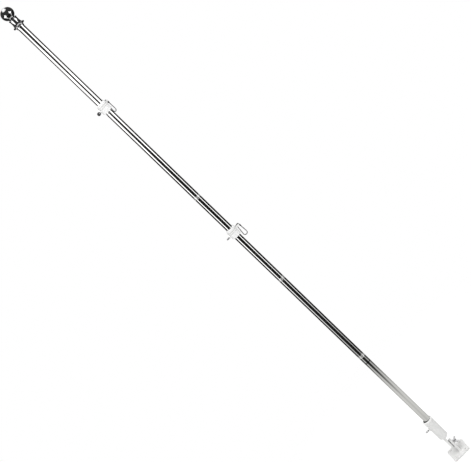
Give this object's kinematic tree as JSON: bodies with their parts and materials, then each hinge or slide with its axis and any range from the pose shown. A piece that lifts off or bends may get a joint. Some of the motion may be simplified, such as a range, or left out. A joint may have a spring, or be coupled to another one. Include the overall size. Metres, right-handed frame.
{
  "type": "wall bracket flagpole",
  "caption": "Screw-together polished tube flagpole with a ball finial, sliding flag rings with wire clips and a tilting wall bracket.",
  "frame": {"origin": "centre of the base plate's wall face", "axes": "+Z out of the wall along the pole at rest, X along the pivot bolt towards the wing nut, Y along the base plate's long side"},
  "size_m": [0.0645, 0.075, 1.9336],
  "materials": {
    "polished_tube": "mirror-polished stainless tube",
    "coupling_metal": "bright polished coupling",
    "chrome": "chrome plated",
    "white_plastic": "moulded white plastic",
    "white_coating": "white powder coat on a casting",
    "bright_hardware": "bright zinc plated hardware",
    "clip_wire": "bent bright steel wire"
  },
  "bodies": {
    "wall_base": {"bracket_base": "white_coating"},
    "pole": {"bracket_socket": "white_coating", "pivot_bolt": "bright_hardware", "pivot_washer": "bright_hardware", "pivot_wing_nut": "bright_hardware", "socket_thumb_screw": "bright_hardware", "pole_section_1": "polished_tube", "pole_section_2": "polished_tube", "pole_section_3": "polished_tube", "pole_section_4": "polished_tube", "pole_section_5": "polished_tube", "pole_coupling_1": "coupling_metal", "pole_coupling_2": "coupling_metal", "pole_coupling_3": "coupling_metal", "pole_coupling_4": "coupling_metal", "finial_ferrule": "chrome", "finial_ball": "chrome"},
    "upper_collar": {"upper_collar": "white_plastic", "upper_collar_cap": "white_plastic", "upper_thumb_screw": "bright_hardware"},
    "upper_ring": {"upper_ring": "white_plastic"},
    "upper_clip": {"upper_clip": "clip_wire"},
    "upper_gate": {"upper_gate": "clip_wire"},
    "lower_collar": {"lower_collar": "white_plastic", "lower_collar_cap": "white_plastic", "lower_thumb_screw": "bright_hardware"},
    "lower_ring": {"lower_ring": "white_plastic"},
    "lower_clip": {"lower_clip": "clip_wire"},
    "lower_gate": {"lower_gate": "clip_wire"}
  },
  "joints": [
    {"name": "bracket_tilt", "type": "hinge", "parent": "wall_base", "child": "pole", "pos_m": [0, 0, 0.037], "axis": [1, 0, 0], "range_deg": [-90, 90]},
    {"name": "upper_collar_slide", "type": "slide", "parent": "pole", "child": "upper_collar", "axis": [0, 0, 1], "range_m": [-0.37, 0.29]},
    {"name": "upper_ring_spin", "type": "hinge", "parent": "upper_collar", "child": "upper_ring", "pos_m": [0.0017, 0, 1.5532], "axis": [0, 0, 1], "range_deg": [-170, 105]},
    {"name": "upper_clip_swing", "type": "hinge", "parent": "upper_ring", "child": "upper_clip", "pos_m": [0.01764, 0.019, 1.5532], "axis": [0.766, -0.6428, 0], "range_deg": [0, 85]},
    {"name": "upper_gate_open", "type": "hinge", "parent": "upper_clip", "child": "upper_gate", "pos_m": [0.02025, 0.02211, 1.54841], "axis": [-0.766, 0.6428, 0], "range_deg": [0, 15], "stiffness_Nm_per_rad": 0.05, "springref_deg": -11.46},
    {"name": "lower_collar_slide", "type": "slide", "parent": "pole", "child": "lower_collar", "axis": [0, 0, 1], "range_m": [-0.8, 0.06]},
    {"name": "lower_ring_spin", "type": "hinge", "parent": "lower_collar", "child": "lower_ring", "pos_m": [0.0017, 0, 1.0302], "axis": [0, 0, 1], "range_deg": [-140, 140]},
    {"name": "lower_clip_swing", "type": "hinge", "parent": "lower_ring", "child": "lower_clip", "pos_m": [0.02626, 0.00345, 1.0302], "axis": [0.1392, -0.9903, 0], "range_deg": [0, 85]},
    {"name": "lower_gate_open", "type": "hinge", "parent": "lower_clip", "child": "lower_gate", "pos_m": [0.03028, 0.00402, 1.02541], "axis": [-0.1392, 0.9903, 0], "range_deg": [0, 15], "stiffness_Nm_per_rad": 0.05, "springref_deg": -11.46}
  ]
}
